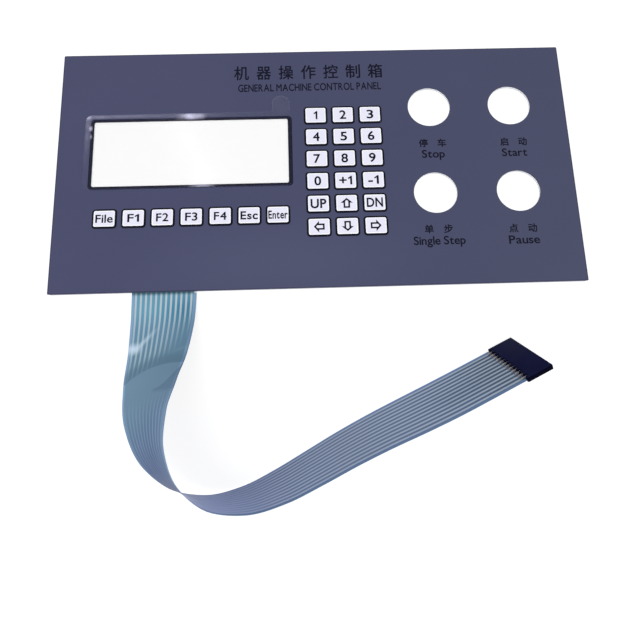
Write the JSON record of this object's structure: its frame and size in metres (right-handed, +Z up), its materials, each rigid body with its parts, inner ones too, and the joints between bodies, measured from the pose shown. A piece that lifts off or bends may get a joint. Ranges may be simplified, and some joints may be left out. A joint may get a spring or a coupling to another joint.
{
  "type": "membrane keypad",
  "caption": "Flat membrane keypad with a clear display window, embossed keys, round push-button holes and a flat film tail that ends in a crimp connector.",
  "frame": {"origin": "on the table under the middle of the panel, at the outer face of the release liner", "axes": "+X along the panel's long side, from the display window to the push-button holes; +Y away from the edge that the tail leaves; +Z up, out of the printed face"},
  "size_m": [0.275, 0.2446, 0.0387],
  "materials": {
    "overlay_film": "satin",
    "clear_film": "gloss",
    "adhesive_film": "satin",
    "spacer_film": "satin",
    "circuit_film": "gloss",
    "liner_paper": "matte",
    "dome_steel": "satin",
    "housing_nylon": "satin",
    "contact_tin": "satin"
  },
  "bodies": {
    "root": {"window_protective_film": "clear_film", "graphic_overlay": "overlay_film", "overlay_adhesive": "adhesive_film", "dome_retainer": "spacer_film", "dome_spacer": "spacer_film", "circuit_film": "circuit_film", "rear_adhesive": "adhesive_film", "release_liner": "liner_paper", "circuit_tail": "circuit_film", "connector_housing": "housing_nylon", "contact_1": "contact_tin", "contact_2": "contact_tin", "contact_3": "contact_tin", "contact_4": "contact_tin", "contact_5": "contact_tin", "contact_6": "contact_tin", "contact_7": "contact_tin", "contact_8": "contact_tin", "contact_9": "contact_tin", "contact_10": "contact_tin", "contact_11": "contact_tin", "contact_12": "contact_tin", "dome_function_1": "dome_steel", "dome_function_2": "dome_steel", "dome_function_3": "dome_steel", "dome_function_4": "dome_steel", "dome_function_5": "dome_steel", "dome_function_6": "dome_steel", "dome_function_7": "dome_steel", "dome_keypad_1": "dome_steel", "dome_keypad_2": "dome_steel", "dome_keypad_3": "dome_steel", "dome_keypad_4": "dome_steel", "dome_keypad_5": "dome_steel", "dome_keypad_6": "dome_steel", "dome_keypad_7": "dome_steel", "dome_keypad_8": "dome_steel", "dome_keypad_9": "dome_steel", "dome_keypad_10": "dome_steel", "dome_keypad_11": "dome_steel", "dome_keypad_12": "dome_steel", "dome_keypad_13": "dome_steel", "dome_keypad_14": "dome_steel", "dome_keypad_15": "dome_steel", "dome_keypad_16": "dome_steel", "dome_keypad_17": "dome_steel", "dome_keypad_18": "dome_steel"}
  },
  "joints": []
}
